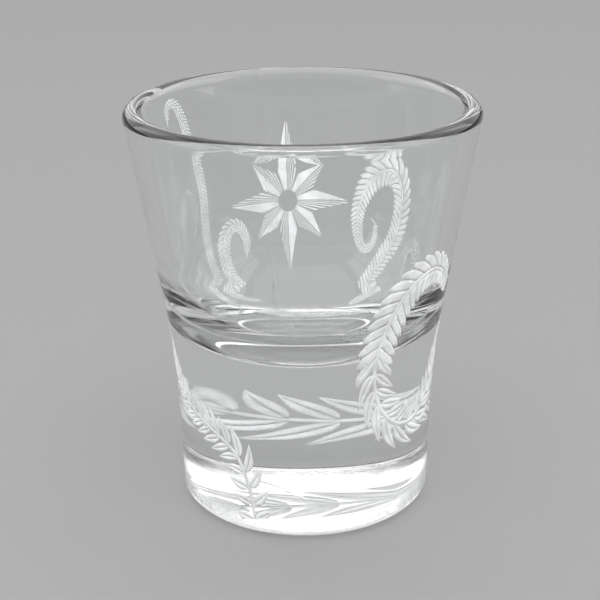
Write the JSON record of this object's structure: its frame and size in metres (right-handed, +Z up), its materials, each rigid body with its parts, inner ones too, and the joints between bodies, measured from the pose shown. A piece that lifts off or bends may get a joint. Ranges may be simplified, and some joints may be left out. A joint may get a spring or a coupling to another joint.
{
  "type": "shot glass",
  "caption": "Flared shot glass pressed in one piece, with a thick solid base, a deep round-bottomed well, a full-round lip and frosted fronds and a star etched on its outer wall.",
  "frame": {"origin": "centre of the foot ring, on the plane that the glass stands on", "axes": "+Z up along the axis of the glass; -Y is the front, so the star is at the back, towards +Y"},
  "size_m": [0.0508, 0.0508, 0.06],
  "materials": {
    "clear_glass": "clear, fire-polished soda-lime glass",
    "etched_frost": "matt white etching in the glass surface"
  },
  "bodies": {
    "root": {"glass_body": "clear_glass", "etched_star": "etched_frost", "etched_foot_frond": "etched_frost", "etched_loop_frond": "etched_frost", "etched_side_frond": "etched_frost", "etched_volute_frond": "etched_frost", "etched_hook_frond": "etched_frost", "etched_curl_frond": "etched_frost", "etched_base_frond": "etched_frost"}
  },
  "joints": []
}
